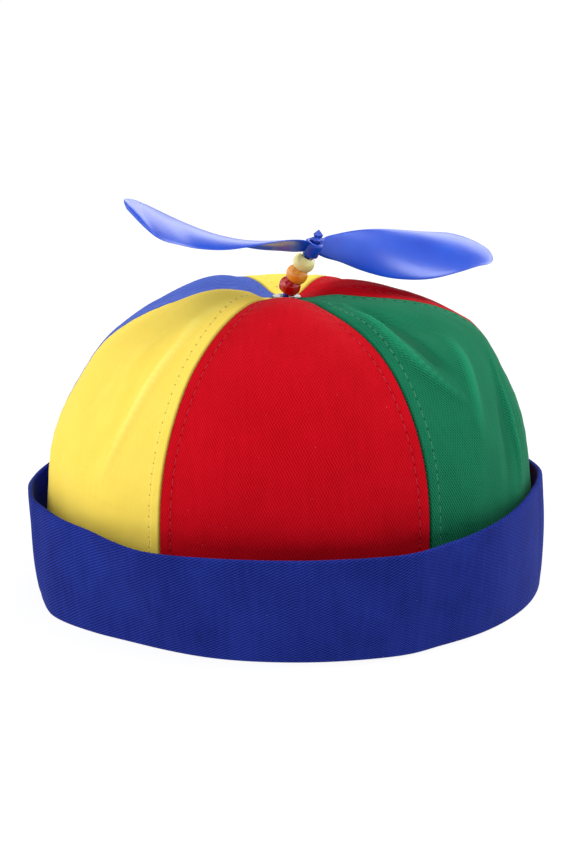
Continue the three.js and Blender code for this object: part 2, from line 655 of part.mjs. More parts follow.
// One blade along +X, with the hub's axis on +Z: cambered sections that untwist and widen from the root to a
// round tip.
function blade(side) {
  const root = (HUB_BORE_RADIUS + RUNNING_GAP) / BLADE_REACH;
  const rings = [];
  for (let ring = 0; ring < BLADE_RINGS; ring += 1) {
    const reach = 1 - (1 - root) * (1 - ring / (BLADE_RINGS - 1)) ** TIP_CROWDING;
    const read = (column) => readTable(BLADE_SECTIONS, 'reach', reach, column);
    const pastStart = clamp((reach - TIP_START) / (1 - TIP_START), 0, 1);
    const width = BLADE_CHORD * Math.max(Math.sqrt(1 - pastStart ** 2), TIP_LEFT);
    const lead = width * read('lead');
    const trail = width * read('trail');
    const pitch = degToRad(read('pitch'));
    const chordPoint = (place, face) => {
      const edge = Math.sqrt(1 - (2 * place - 1) ** EDGE_SQUARENESS);
      const camber = (BLADE_CAMBER * 4 * place * (1 - place) * (lead + trail)) / BLADE_CHORD;
      const across = lerp(-trail, lead, place);
      const off = camber + (face * edge * BLADE_THICKNESS) / 2;
      return new THREE.Vector3(
        BLADE_REACH * reach,
        across * Math.cos(pitch) - off * Math.sin(pitch),
        across * Math.sin(pitch) + off * Math.cos(pitch) + BLADE_RISE * read(side),
      );
    };
    const points = [];
    for (let step = 0; step <= CHORD_STEPS; step += 1) {
      points.push(chordPoint(step / CHORD_STEPS, 1));
    }
    for (let step = CHORD_STEPS - 1; step > 0; step -= 1) {
      points.push(chordPoint(step / CHORD_STEPS, -1));
    }
    rings.push(points);
  }
  const geometry = ringGeometry(rings, false);
  return side === 'left' ? geometry.rotateZ(Math.PI) : geometry;
}

// The propeller: a tapered hub with two blades, moulded in one piece.
function propeller() {
  const bore = [HUB_BORE_RADIUS, -HUB_DROP];
  const hub = turned([
    bore,
    [HUB_FOOT_RADIUS, -HUB_DROP],
    [HUB_TOP_RADIUS, HUB_RISE / 2],
    [HUB_TOP_RADIUS, HUB_RISE],
    [HUB_BORE_RADIUS, HUB_RISE],
    bore,
  ], HUB_SIDES);
  const mesh = piece('propeller', joined([hub, blade('right'), blade('left')]), PLASTIC_COLOUR, 0.2, 0);
  const sideways = new THREE.Vector3(1, 0, 0).projectOnPlane(HUB_DIRECTION).normalize();
  const line = sideways.applyAxisAngle(HUB_DIRECTION, degToRad(BLADE_TURN));
  const chord = new THREE.Vector3().crossVectors(HUB_DIRECTION, line);
  mesh.quaternion.setFromRotationMatrix(new THREE.Matrix4().makeBasis(line, chord, HUB_DIRECTION));
  mesh.position.copy(alongStem(HUB_MIDDLE));
  return mesh;
}

const hat = new THREE.Group();
hat.add(...GORES.map(gore), cuff(), eyelet(), stem(), ...BEADS.map(bead), propeller());

// The hat stands on its cuff, with the middle of its whole outline over the origin.
const outline = new THREE.Box3().setFromObject(hat, true);
const middle = outline.getCenter(new THREE.Vector3());
hat.position.set(-middle.x, -middle.y, -outline.min.z);

const beanie = new THREE.Group();
beanie.add(hat);
export default beanie;
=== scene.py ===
import math

import bpy
import numpy as np
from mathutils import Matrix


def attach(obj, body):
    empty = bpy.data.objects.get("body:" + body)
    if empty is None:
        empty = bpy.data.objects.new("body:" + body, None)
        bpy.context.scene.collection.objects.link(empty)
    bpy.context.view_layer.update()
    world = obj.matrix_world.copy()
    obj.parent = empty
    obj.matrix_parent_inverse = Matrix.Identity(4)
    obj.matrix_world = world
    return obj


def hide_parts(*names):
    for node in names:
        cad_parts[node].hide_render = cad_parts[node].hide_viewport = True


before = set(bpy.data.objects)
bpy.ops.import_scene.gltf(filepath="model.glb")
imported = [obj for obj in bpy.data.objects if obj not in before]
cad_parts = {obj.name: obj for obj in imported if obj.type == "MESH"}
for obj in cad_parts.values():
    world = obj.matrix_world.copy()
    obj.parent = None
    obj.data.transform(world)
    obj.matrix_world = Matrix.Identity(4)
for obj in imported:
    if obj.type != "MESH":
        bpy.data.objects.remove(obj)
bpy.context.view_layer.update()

# The studio: a white light table that runs to the horizon, under white light that is strong at both sides and
# overhead and weak in front, a broad soft light from the upper left, and softboxes that the plastic mirrors.
scene = bpy.context.scene
scene.view_settings.view_transform = "Standard"

camera_place = (0.0003, -0.6994, 0.2387)
camera_pitch = 14.624
picture_height = 864
focal_length_px = 1888.4
camera_data = bpy.data.cameras.new("camera")
camera_data.sensor_width = 36
camera_data.lens = focal_length_px / picture_height * camera_data.sensor_width
camera_data.clip_start = 0.01
camera = bpy.data.objects.new("camera", camera_data)
camera.location = camera_place
camera.rotation_euler = (math.radians(90 - camera_pitch), 0, 0)
scene.collection.objects.link(camera)
scene.camera = camera


class Wire:
    """One output of a material's nodes. Sums, products and powers of wires and numbers add their Math nodes."""

    def __init__(self, tree, socket=None):
        self.tree = tree
        self.socket = socket

    def node(self, kind, settings, inputs, output=0):
        """Add a node: its settings first, then the value or the wire of each named socket. Gives one output."""
        made = self.tree.nodes.new(kind)
        stops = settings.pop("stops", None)
        for key, value in settings.items():
            setattr(made, key, value)
        if stops:
            ramp = made.color_ramp.elements
            while len(ramp) < len(stops):
                ramp.new(1.0)
            for element, (place, colour) in zip(ramp, stops):
                element.position = place
                element.color = (*colour, 1)
        for key, value in inputs.items():
            if isinstance(value, Wire):
                self.tree.links.new(value.socket, made.inputs[key])
            else:
                made.inputs[key].default_value = value
        return Wire(self.tree, made.outputs[output]) if made.outputs else None

    def math(self, operation, *values):
        return self.node("ShaderNodeMath", {"operation": operation}, dict(enumerate(values)))

    def __add__(self, other):
        return self.math("ADD", self, other)

    def __sub__(self, other):
        return self.math("SUBTRACT", self, other)

    def __rsub__(self, other):
        return self.math("SUBTRACT", other, self)

    def __mul__(self, other):
        return self.math("MULTIPLY", self, other)

    def __truediv__(self, other):
        return self.math("DIVIDE", self, other)

    def __pow__(self, other):
        return self.math("POWER", self, other)

    __radd__ = __add__
    __rmul__ = __mul__

    def sine(self, turns):
        """A wave between 0 and 1 that repeats once for each whole number of turns."""
        return self.math("SINE", turns * (2 * math.pi)) * 0.5 + 0.5

    def step(self, value, low, high):
        """0 below low, 1 above high, and a smooth rise between them. With low above high it falls instead."""
        return self.node("ShaderNodeMapRange", {"interpolation_type": "SMOOTHSTEP"},
                         {"Value": value, "From Min": low, "From Max": high})

    def noise(self, place, scale, detail=2.0, roughness=0.5):
        return self.node("ShaderNodeTexNoise", {}, {"Vector": place, "Scale": scale, "Detail": detail,
                                                    "Roughness": roughness})

    def blend(self, amount, first, second):
        """Mix two colours; amount 0 gives the first."""
        return self.node("ShaderNodeMix", {"data_type": "RGBA"}, {0: amount, 6: first, 7: second}, 2)


def new_material(name):
    """An empty node material and a wire to build its nodes with."""
    material = bpy.data.materials.new(name)
    material.use_nodes = True
    material.node_tree.nodes.clear()
    return material, Wire(material.node_tree)


def surface_output(wire, inputs):
    """The Principled shader with these sockets, joined to the material's output."""
    shader = wire.node("ShaderNodeBsdfPrincipled", {}, inputs)
    wire.node("ShaderNodeOutputMaterial", {}, {"Surface": shader})


def colour(red, green, blue):
    """A picture colour from 0 to 255 as the linear colour that the shaders take."""
    share = np.array([red, green, blue]) / 255
    linear = np.where(share <= 0.04045, share / 12.92, ((share + 0.055) / 1.055) ** 2.4)
    return (*linear.tolist(), 1.0)


millimetre = 0.001


def add_object(name, points, faces, smooth=True):
    """A mesh object at the origin from points in millimetres and a list of faces."""
    mesh = bpy.data.meshes.new(name)
    mesh.from_pydata((np.asarray(points).reshape(-1, 3) * millimetre).tolist(), [], faces)
    mesh.polygons.foreach_set("use_smooth", np.full(len(mesh.polygons), smooth))
    mesh.update()
    made = bpy.data.objects.new(name, mesh)
    scene.collection.objects.link(made)
    return made


floor_half = 20000.0
floor = add_object("floor", [(-floor_half, -floor_half, 0), (floor_half, -floor_half, 0),
                             (floor_half, floor_half, 0), (-floor_half, floor_half, 0)], [(0, 1, 2, 3)])
floor_paper, wire = new_material("floor_paper")
place = wire.node("ShaderNodeTexCoord", {}, {}, "Object")
surface_output(wire, {
    "Base Color": wire.blend(wire.noise(place, 30.0), (0.15, 0.15, 0.15, 1), (0.17, 0.17, 0.17, 1)),
    "Roughness": 0.9,
    "Specular IOR Level": 0.0,
    "Emission Color": (1, 1, 1, 1),
    "Emission Strength": 0.88,
})
floor.data.materials.append(floor_paper)

world = bpy.data.worlds.new("studio")
world.use_nodes = True
world.node_tree.nodes.clear()
wire = Wire(world.node_tree)
to_right = wire.node("ShaderNodeSeparateXYZ", {}, {"Vector": wire.node("ShaderNodeTexCoord", {}, {}, "Generated")})
to_back, to_top = (Wire(wire.tree, to_right.socket.node.outputs[axis]) for axis in ("Y", "Z"))
brightness = (0.34 + 1.25 * wire.step(wire.math("ABSOLUTE", to_right), 0.45, 0.95)
              + 0.5 * wire.step(to_top, 0.6, 0.95)
              - 0.34 * wire.step(to_back, -0.3, -0.95) - 0.2 * wire.step(to_back, 0.3, 0.7))
sky = wire.node("ShaderNodeBackground", {}, {"Color": (0.99, 0.99, 1.0, 1), "Strength": brightness})
wire.node("ShaderNodeOutputWorld", {}, {"Surface": sky})
scene.world = world


def add_light(name, kind, energy, place, target, **settings):
    """A light at a place, turned to face its target, both in metres."""
    data = bpy.data.lights.new(name, kind)
    data.energy = energy
    for key, value in settings.items():
        setattr(data, key, value)
    light = bpy.data.objects.new(name, data)
    aim = np.array(place) - np.array(target)
    across = math.hypot(aim[0], aim[1])
    light.rotation_euler = (math.atan2(across, aim[2]), 0, math.atan2(aim[0], -aim[1]))
    light.location = place
    scene.collection.objects.link(light)


hat_middle = (0, 0, 0.07)
hat_top = (0, 0, 0.13)
add_light("key", "SUN", 0.9, (-0.55, -0.6, 0.9), hat_middle, angle=math.radians(80))
add_light("softbox_top", "AREA", 2.4, (0.36, -0.06, 0.98), hat_top, shape="RECTANGLE", size=0.3, size_y=0.2)
add_light("softbox_back", "AREA", 2.0, (0.22, 0.86, 0.42), hat_top, shape="RECTANGLE", size=0.9, size_y=0.3)
add_light("softbox_left", "AREA", 1.3, (-0.8, -0.3, 0.6), hat_middle, shape="RECTANGLE", size=0.4, size_y=0.6)
add_light("softbox_right", "AREA", 2.4, (0.7, 0.5, 0.55), hat_top, shape="RECTANGLE", size=0.4, size_y=0.4)

# The crown: six gores of cotton twill, sewn edge to edge from the cuff up to the eyelet. Each gore is
# one cloth wall that puffs between its seams, with its allowances under a row of topstitching.
cap_axis = (0.955, 0.644)
gore_angle = 60.0
crown_turn = 1.3
cloth = 1.2
dome_radius = 93.0
dome_start = 38.0
dome_rise = 71.9
dome_squareness = 2.4
dimple_radius = 17.0
dimple_depth = 1.6
apex_drift = -1.3
grip_radius = 5.9
tip_radius = 3.7
hem = 2.4
cuff_radius = 97.4
cuff_thickness = 2.0
groove_gap = 0.5
panel_puff = 5.6
puff_power = 1.5
seam_draw = 4.0
fold_height = 3.0
fold_width = 10.0
hem_hold = 0.12
tip_hold = 0.9
draw_end = 0.95
stitch_inset = 4.3
stitch_pitch = 3.7
seam_round = 0.9
seam_stitch = 2.9
allowance_height = 0.4
channel_depth = 0.34
channel_width = 0.7
pucker_length = 7.4
pucker_reach = 4.5
sag_height = 0.24
sag_size = 34
dimple_height = 0.05
dimple_size = 11


def read_smooth(places, values, at):
    """A smooth curve through (place, value) pairs: between two pairs it is a cubic whose slope at each pair is
    that of the chord over the pair's two neighbours."""
    places, values = np.asarray(places, float), np.asarray(values, float)
    start = np.clip(np.searchsorted(places, at, side="right") - 1, 0, len(places) - 2)
    before, after = np.maximum(start - 1, 0), np.minimum(start + 2, len(places) - 1)
    span = places[start + 1] - places[start]
    share = np.clip((at - places[start]) / span, 0, 1)
    slope_in = (values[start + 1] - values[before]) / np.maximum(places[start + 1] - places[before], span / 2)
    slope_out = (values[after] - values[start]) / np.maximum(places[after] - places[start], span / 2)
    ease = share * share * (3 - 2 * share)
    return (values[start] + (values[start + 1] - values[start]) * ease
            + share * (1 - share) ** 2 * slope_in * span + share * share * (share - 1) * slope_out * span)


def read_round(rows, column, azimuth):
    """Read one column of a table of (azimuth, ...) rows all round the cap, on the same smooth curve."""
    table = np.array(rows, float)
    places = np.concatenate([table[-2:, 0] - 360, table[:, 0], table[:2, 0] + 360])
    values = np.concatenate([table[-2:, column], table[:, column], table[:2, column]])
    return read_smooth(places, values, np.mod(azimuth, 360))


def ease(value, low, high):
    """0 below low, 1 above high, 3t^2 - 2t^3 between them."""
    share = np.clip((value - low) / (high - low), 0, 1)
    return share * share * (3 - 2 * share)


def polar(azimuth, radius, height):
    """Points at an azimuth (0 front, 90 right), a distance from the cap's upright axis and a height."""
    angle = np.radians(azimuth)
    return np.stack(np.broadcast_arrays(cap_axis[0] + radius * np.sin(angle), cap_axis[1] - radius * np.cos(angle),
                                        height), axis=-1)


# The cuff's foot, height and lean round the cap: azimuth, share of its radius, share of its height, degrees.
cuff_sections = [
    (0, 1.0, 1.0, 11.2), (15, 1.007, 1.0, 10.2), (25, 1.013, 1.005, 10.4), (33, 0.997, 1.02, 9.2),
    (45, 0.996, 1.05, 6), (55, 0.994, 1.07, 2.6), (68, 0.994, 1.1, 0.2), (82, 0.994, 1.09, -0.8),
    (100, 0.997, 1.0, 2), (125, 1.0, 0.96, 7), (155, 1.003, 0.95, 9), (185, 0.997, 0.96, 10),
    (215, 1.003, 0.95, 8), (240, 0.998, 0.94, 6), (265, 0.991, 0.94, 5), (280, 0.992, 1.0, 5.2),
    (292, 1.012, 1.05, 5), (301, 1.032, 1.04, 3), (314, 1.004, 1.02, 6.5), (323, 0.984, 1.0, 12),
    (331, 0.983, 0.995, 14.6), (345, 0.997, 1.0, 12.6),
]
# The puff of a gore from hem to tip, and how far each seam stands off the even dome at four places.
puff_sections = [
    (0, 0), (0.12, 0.15), (0.3, 0.34), (0.5, 0.42), (0.68, 0.62), (0.81, 1), (0.9, 0.62), (0.96, 0.12), (1, 0),
]
seam_places = (0.28, 0.47, 0.61, 0.84)
seams = [
    (30, 0, 0.2, 0.4, -0.1), (90, -0.4, 0.05, 1.3, 0.1), (150, 0, 0, 0, 0.95),
    (210, 0, 0, 0, 0.9), (270, -0.4, -0.9, -0.1, 0.35), (330, 0, -0.3, 0, 0.5),
]


def dome_line():
    """The front seam from hem to tip: up the wall, over a dome that is a superellipse, down into the dimple and
    in across the ring that the eyelet grips. Gives each point's height, dome radius and share of the way."""
    turn = np.linspace(0, math.acos((dimple_radius / dome_radius) ** (dome_squareness / 2)), 400)
    power = 2 / dome_squareness
    tip_height = dome_start + dome_rise - dimple_depth
    over = [dome_radius * np.cos(turn) ** power, dome_start + dome_rise * np.sin(turn) ** power]
    inwards = np.linspace(dimple_radius, grip_radius, 40)[1:]
    down = [inwards, tip_height + (over[1][-1] - tip_height) * ease(inwards, grip_radius, dimple_radius)]
    wall_height = np.linspace(hem, dome_start, 60)[:-1]
    hem_radius = cuff_radius - cuff_thickness - groove_gap
    wall = [hem_radius + (dome_radius - hem_radius) * ease(wall_height, hem, dome_start), wall_height]
    radius = np.concatenate([wall[0], over[0], down[0], [tip_radius]])
    height = np.concatenate([wall[1], over[1], down[1], [tip_height]])
    way = np.concatenate([[0], np.cumsum(np.hypot(np.diff(radius), np.diff(height)))])
    return height, radius, way / way[-1], way[-1]


line_height, line_radius, line_rise, seam_length = dome_line()
grip_rise = 1 - (grip_radius - tip_radius) / seam_length


def fold_lift(folds, across, rise, half_width):
    """The height of soft folds: each is a ridge or a hollow with a bell section along a curve with one bend, full
    at its middle and easing to its two ends."""
    total = np.zeros(np.broadcast(across, rise).shape)
    for (a0, a1, a2), (r0, r1, r2), width, height in folds:
        share = np.linspace(0, 1, 25)
        line_a = a0 * (1 - share) ** 2 + 2 * a1 * share * (1 - share) + a2 * share ** 2
        line_r = r0 * (1 - share) ** 2 + 2 * r1 * share * (1 - share) + r2 * share ** 2
        away = np.hypot((across[..., None] - line_a) * half_width[..., None],
                        (rise[..., None] - line_r) * seam_length)
        nearest = away.min(axis=-1)
        ends = 0.3 + 0.7 * np.sin(np.pi * share[away.argmin(axis=-1)])
        total += fold_height * height * ends * np.exp(-(nearest / (fold_width * width)) ** 2)
    return total


def ripples(x, y, size, seed, count=9):
    """An even unevenness between about -1 and 1: a sum of sine waves of about one size in random directions."""
    chance = np.random.default_rng(seed)
    total = 0
    for turn, scale, shift in zip(chance.uniform(0, 2 * np.pi, count), chance.uniform(0.7, 1.6, count),
                                  chance.uniform(0, 2 * np.pi, count)):
        total = total + np.sin((x * np.cos(turn) + y * np.sin(turn)) * 2 * np.pi / (size * scale) + shift)
    return total / math.sqrt(count)


def gore_surface(number, across, rise, fine=True):
    """The outside of a gore at places across it (-1 left seam, 1 right seam) and up it (0 hem, 1 tip). Returns
    the radius, the height, the distance from the nearest seam, and the outward direction in the upright plane."""
    gore = gores[number]
    azimuth = gore_angle * (number + across / 2)
    height = np.interp(rise, line_rise, line_height)
    radius = np.interp(rise, line_rise, line_radius)
    foot = cuff_radius * read_round(cuff_sections, 1, azimuth + crown_turn) - cuff_thickness - groove_gap
    wall = foot + (dome_radius - foot) * ease(height, hem, dome_start)
    on_wall = rise <= np.interp(dome_start, line_height[:400], line_rise[:400])
    radius = np.where(on_wall, wall, radius)
    puffed = panel_puff * gore["puff"] * read_smooth(*zip(*puff_sections), rise)
    puffed = puffed * (1 - across ** 2) ** puff_power
    draw_columns = [read_round(seams, column, azimuth) for column in (1, 2, 3, 4)]
    draw_at = [0, hem_hold, *seam_places, draw_end, 1]
    zero = np.zeros_like(azimuth)
    knots = np.stack(np.broadcast_arrays(zero, zero, *draw_columns, zero, zero))
    drawn = np.zeros_like(azimuth)
    for first in range(len(draw_at) - 1):
        inside = (rise >= draw_at[first]) & (rise <= draw_at[first + 1])
        before, after = max(first - 1, 0), min(first + 2, len(draw_at) - 1)
        span = draw_at[first + 1] - draw_at[first]
        share = np.clip((rise - draw_at[first]) / span, 0, 1)
        slope_in = (knots[first + 1] - knots[before]) / max(draw_at[first + 1] - draw_at[before], span / 2) * span
        slope_out = (knots[after] - knots[first]) / max(draw_at[after] - draw_at[first], span / 2) * span
        value = (knots[first] + (knots[first + 1] - knots[first]) * share * share * (3 - 2 * share)
                 + share * (1 - share) ** 2 * slope_in + share * share * (share - 1) * slope_out)
        drawn = np.where(inside, value, drawn)
    half_width = math.radians(gore_angle / 2) * radius
    held = (1 - across ** 4) * ease(rise, 0, hem_hold) * (1 - ease(rise, tip_hold, 1))
    lift = puffed + seam_draw * drawn + fold_lift(gore["folds"], across, rise, half_width) * held
    lift = np.where(rise >= grip_rise, 0, lift)
    edge = (1 - np.abs(across)) * half_width
    along_way = rise * seam_length
    if fine:
        lift = lift + fine_lift(number, across, edge, along_way, half_width, rise)
    slope_radius = np.gradient(line_radius, line_rise * seam_length)
    slope_height = np.gradient(line_height, line_rise * seam_length)
    out_radius = np.interp(rise, line_rise, slope_height)
    out_height = -np.interp(rise, line_rise, slope_radius)
    flat = ease(rise, grip_rise - 0.01, grip_rise)
    out_radius, out_height = out_radius * (1 - flat), out_height * (1 - flat) + flat
    size = np.hypot(out_radius, out_height)
    out_radius, out_height = out_radius / size, out_height / size
    radius, height = radius + out_radius * lift, height + out_height * lift
    return radius, height, edge, (out_radius, out_height)


def fine_lift(number, across, edge, along_way, half_width, rise):
    """What sewing does to the cloth near a seam, and small creases: the edge rolls down into the seam, the
    allowance raises a band, the topstitching draws a channel, and the band puckers between stitches."""
    gore = gores[number]
    drawn_in = edge / (seam_round * (1 + 0.3 * np.cos(2 * np.pi * along_way / seam_stitch)))
    rolled = -seam_round * (1 - np.sqrt(1 - np.clip(1 - drawn_in, 0, 1) ** 2))
    band = allowance_height * (1 - ease(edge, stitch_inset - 0.3, stitch_inset + 1.6))
    stitched = ease(rise, 0.03, 0.06) * (1 - ease(rise, 0.9, 0.93))
    between_holes = 0.75 - 0.25 * np.cos(2 * np.pi * along_way / stitch_pitch)
    channel = -channel_depth * np.exp(-((edge - stitch_inset) / channel_width) ** 2) * between_holes
    side = np.where(across < 0, 0.0, 40.0)
    drawn_up = 0.06 + 0.06 * ease(rise, 0.5, 0.7) * (1 - ease(rise, 0.74, 0.85))
    pucker_phase = 2 * np.pi * along_way / pucker_length + 2.2 * ripples(along_way, side, 60, 11 + number)
    pucker = (drawn_up * np.sin(pucker_phase)
              * np.exp(-((edge - stitch_inset) / pucker_reach) ** 2) * ease(edge, 0, 1.5))
    tighter_on_top = 1 - 0.7 * ease(rise, 0.7, 0.88)
    sag = sag_height * ripples(across * half_width, along_way, sag_size, 21 + number) * ease(edge, 2, 16) * tighter_on_top
    small = dimple_height * ripples(across * half_width, along_way, dimple_size, 41 + number) * ease(edge, 2, 9)
    creases = fold_lift(gore["creases"], across, rise, half_width) * ease(edge, 0, 6)
    fade = 1 - ease(rise, 0.9, grip_rise)
    return rolled * fade + (band * stitched + channel * stitched + pucker * stitched + sag + small + creases) * fade


# The gores in order round the crown. Folds and creases: places across and up at the start, bend and end,
# width and height as shares of a common fold.
gores = [
    {"node": "crown_red_front", "slot": "red_cloth", "puff": 0.75,
     "folds": [((-0.4, -0.3, -0.1), (0.5, 0.3, 0.1), 1.4, -0.3)],
     "creases": [((-0.5, -0.2, 0.3), (0.2, 0.13, 0.2), 0.7, -0.2), ((0.2, 0.5, 0.7), (0.3, 0.25, 0.12), 0.8, 0.15)]},
    {"node": "crown_green_right_front", "slot": "green_cloth", "puff": 0.3,
     "folds": [((-0.82, -0.92, -0.52), (0.9, 0.7, 0.53), 0.7, 0.9), ((-0.35, -0.25, 0), (0.88, 0.75, 0.6), 1, -0.8),
               ((0.05, -0.5, -0.6), (0.6, 0.43, 0.22), 1, 0.4), ((0.72, 0.35, 0.15), (0.58, 0.45, 0.25), 0.6, 0.6)],
     "creases": [((-0.35, -1.12, -0.45), (0.86, 0.67, 0.49), 0.2, 0.75),
                 ((-0.2, -0.62, -0.4), (0.82, 0.635, 0.55), 0.4, -0.8),
                 ((0, -0.2, -0.4), (0.62, 0.545, 0.41), 0.3, 0.55),
                 ((0.5, 0.125, 0.13), (0.55, 0.47, 0.27), 0.15, 0.55),
                 ((0.65, 0.365, 0.3), (0.5, 0.44, 0.3), 0.3, -0.5),
                 ((0.3, -0.05, -0.1), (0.5, 0.42, 0.22), 0.4, -0.4)]},
    {"node": "crown_red_right_back", "slot": "red_cloth", "puff": 0.35,
     "folds": [((0.1, -0.3, -0.6), (0.94, 0.88, 0.76), 0.8, 0.7), ((0.6, 0.4, 0.2), (0.9, 0.8, 0.66), 1, -0.5)],
     "creases": [((-0.7, -0.6, -0.7), (0.93, 0.85, 0.7), 0.25, 0.35)]},
    {"node": "crown_yellow_back", "slot": "yellow_cloth", "puff": 0.1,
     "folds": [((-0.4, -0.2, -0.1), (0.8, 0.6, 0.4), 1.2, -0.5)],
     "creases": [((0.3, 0.2, 0.3), (0.8, 0.6, 0.3), 0.5, 0.2)]},
    {"node": "crown_blue_left_back", "slot": "blue_cloth", "puff": 0.35,
     "folds": [((-0.3, 0.15, 0.17), (0.94, 0.85, 0.7), 0.8, 0.6)],
     "creases": [((0.5, 0.4, 0.5), (0.9, 0.8, 0.6), 0.4, -0.2)]},
    {"node": "crown_yellow_left_front", "slot": "yellow_cloth", "puff": 0.8,
     "folds": [((0.5, 0.65, 0.5), (0.9, 0.6, 0.26), 1.1, 0.5), ((-0.2, 0.15, 0.2), (0.66, 0.5, 0.3), 0.9, -0.5)],
     "creases": [((0.66, 0.725, 0.45), (0.72, 0.535, 0.33), 0.22, 0.5),
                 ((0.45, 0.525, 0.3), (0.68, 0.485, 0.35), 0.4, -0.34),
                 ((0.75, 0.735, 0.62), (0.88, 0.78, 0.68), 0.2, 0.2),
                 ((0.6, 0.3, -0.1), (0.78, 0.62, 0.4), 0.36, 0.24),
                 ((0.15, 0.3, 0.3), (0.62, 0.5, 0.3), 0.5, -0.15)]},
]
seam_width = 0.1
gore_columns = 120
gore_rows = 190


def drift(points):
    """The crown's top drifts a little to one side: a shift along X that eases in from the dome's start."""
    moved = points.copy()
    moved[..., 0] += apex_drift * ease(points[..., 2], dome_start, dome_start + dome_rise - dimple_depth - cloth)
    return moved


def gore_points(number, across, rise, depth=0.0, fine=True):
    """Points of a gore's outside, or of a surface at a depth below it."""
    radius, height, edge, (out_radius, out_height) = gore_surface(number, across, rise, fine)
    half_angle = gore_angle / 2 - np.degrees(seam_width / 2 / radius)
    azimuth = crown_turn + gore_angle * number + across * half_angle
    return drift(polar(azimuth, radius - out_radius * depth, height - out_height * depth)), edge


def wall_faces(rows, columns):
    """Faces of a closed wall between an outer and an inner grid, which lie one after the other."""
    place = np.arange(rows * columns).reshape(rows, columns)
    outer = np.stack([place[:-1, :-1], place[:-1, 1:], place[1:, 1:], place[1:, :-1]], axis=-1).reshape(-1, 4)
    inner = outer[:, ::-1] + rows * columns
    border = np.concatenate([place[0, :-1], place[:-1, -1], place[-1, :0:-1], place[:0:-1, 0]])
    after = np.roll(border, -1)
    rim = np.stack([after, border, border + rows * columns, after + rows * columns], axis=-1)
    return np.concatenate([outer, inner, rim]).tolist()


def add_uv(made, name, values):
    """A UV map from one pair of numbers for each vertex."""
    layer = made.data.uv_layers.new(name=name)
    corners = np.empty(len(made.data.loops), int)
    made.data.loops.foreach_get("vertex_index", corners)
    layer.data.foreach_set("uv", np.asarray(values, np.float32).reshape(-1, 2)[corners].ravel())


def map_sides(wire, name):
    """The two numbers of a UV map."""
    uv_map = wire.node("ShaderNodeUVMap", {"uv_map": name}, {})
    first = wire.node("ShaderNodeSeparateXYZ", {}, {"Vector": uv_map})
    return first, Wire(wire.tree, first.socket.node.outputs["Y"])


def twill(name, dark, lit, slope, pitch, thread_mark=0.0, seed=0.0, contrast=0.5, relief=0.4, crease_painted_light=0.5):
    """Cotton twill: fine ridges at a slope across the cloth's grain, darker between, each ridge broken into short
    floats of yarn; the dye varies softly and fibres stand off it. Crease ridges get a painted highlight and their
    hollows painted shade, and painted shade darkens the needle holes of the topstitching and a thin line along
    the seam."""
    material, wire = new_material(name)
    grain = wire.node("ShaderNodeUVMap", {"uv_map": "grain"}, {})
    across_cloth, up_cloth = map_sides(wire, "grain")
    wander = wire.noise(grain, 55.0, 3.0) - 0.5
    turn = math.radians(slope)
    line = (across_cloth * math.sin(turn) + up_cloth * math.cos(turn)) / pitch + wander * 1.2 + seed
    float_line = (across_cloth * math.cos(turn) - up_cloth * math.sin(turn)) / (pitch * 1.5)
    ridge = wire.sine(line)
    yarn = wire.sine(float_line + line * 0.5)
    fibres = wire.noise(grain, 2600.0, 3.0, 0.7)
    cloudy = wire.noise(grain, 38.0, 4.0, 0.6)
    slub = wire.noise(wire.node("ShaderNodeVectorMath", {"operation": "MULTIPLY"},
                                {0: grain, 1: (500.0, 60.0, 1.0)}), 1.0, 2.0)
    shade = ridge * (0.55 * contrast) + yarn * (0.18 * contrast) + fibres * 0.25 + cloudy * 0.32 + slub * 0.15
    tone = wire.step(shade, 0.18, 0.95)
    cloth_colour = wire.blend(tone, dark, lit)
    lint = wire.step(wire.noise(grain, 1200.0, 1.0), 0.78, 0.84)
    cloth_colour = wire.blend(lint * 0.12, cloth_colour, (0.9, 0.9, 0.92, 1))
    height = ridge * 0.6 + yarn * 0.25 + fibres * 0.35
    if thread_mark:
        crease, _ = map_sides(wire, "crease")
        # Painted light on the creases: paler colour on the ridges is a painted highlight, the dark colour in the
        # hollows is painted shade.
        painted_ridge_highlight = tuple(min(v * 1.7, 1.0) for v in lit[:3]) + (1.0,)
        cloth_colour = wire.blend(wire.step(crease, 0.1, 1.9) * crease_painted_light, cloth_colour, painted_ridge_highlight)
        cloth_colour = wire.blend(wire.step(crease, -0.1, -1.9) * crease_painted_light, cloth_colour, dark)
        seam, seam_way = map_sides(wire, "seam")
        from_line = (seam - stitch_inset * millimetre) * 1000.0
        way = seam_way / (stitch_pitch * millimetre)
        to_hole = (way - wire.math("ROUND", way)) * stitch_pitch
        away = wire.math("SQRT", from_line * from_line + to_hole * to_hole)
        hole = 1.0 - wire.step(away, 0.2, 0.55)
        # Painted shade: a thin line along the seam edge and the needle holes are blended towards a shadow colour.
        painted_seam_shadow = 1.0 - wire.step(seam, 0.0002, 0.0011)
        shadow = tuple(v * 0.25 for v in dark[:3]) + (1.0,)
        cloth_colour = wire.blend(hole * thread_mark + painted_seam_shadow * 0.35, cloth_colour, shadow)
        height = height - hole * 1.5
    surface_output(wire, {
        "Base Color": cloth_colour,
        "Roughness": 0.86 + 0.1 * cloudy,
        "Specular IOR Level": 0.05,
        "Sheen Weight": 0.04,
        "Sheen Roughness": 0.4,
        "Sheen Tint": tuple(0.5 + 0.5 * v for v in lit[:3]) + (1.0,),
        "Normal": wire.node("ShaderNodeBump", {}, {"Strength": relief, "Distance": 0.00022, "Height": height}),
    })
    return material


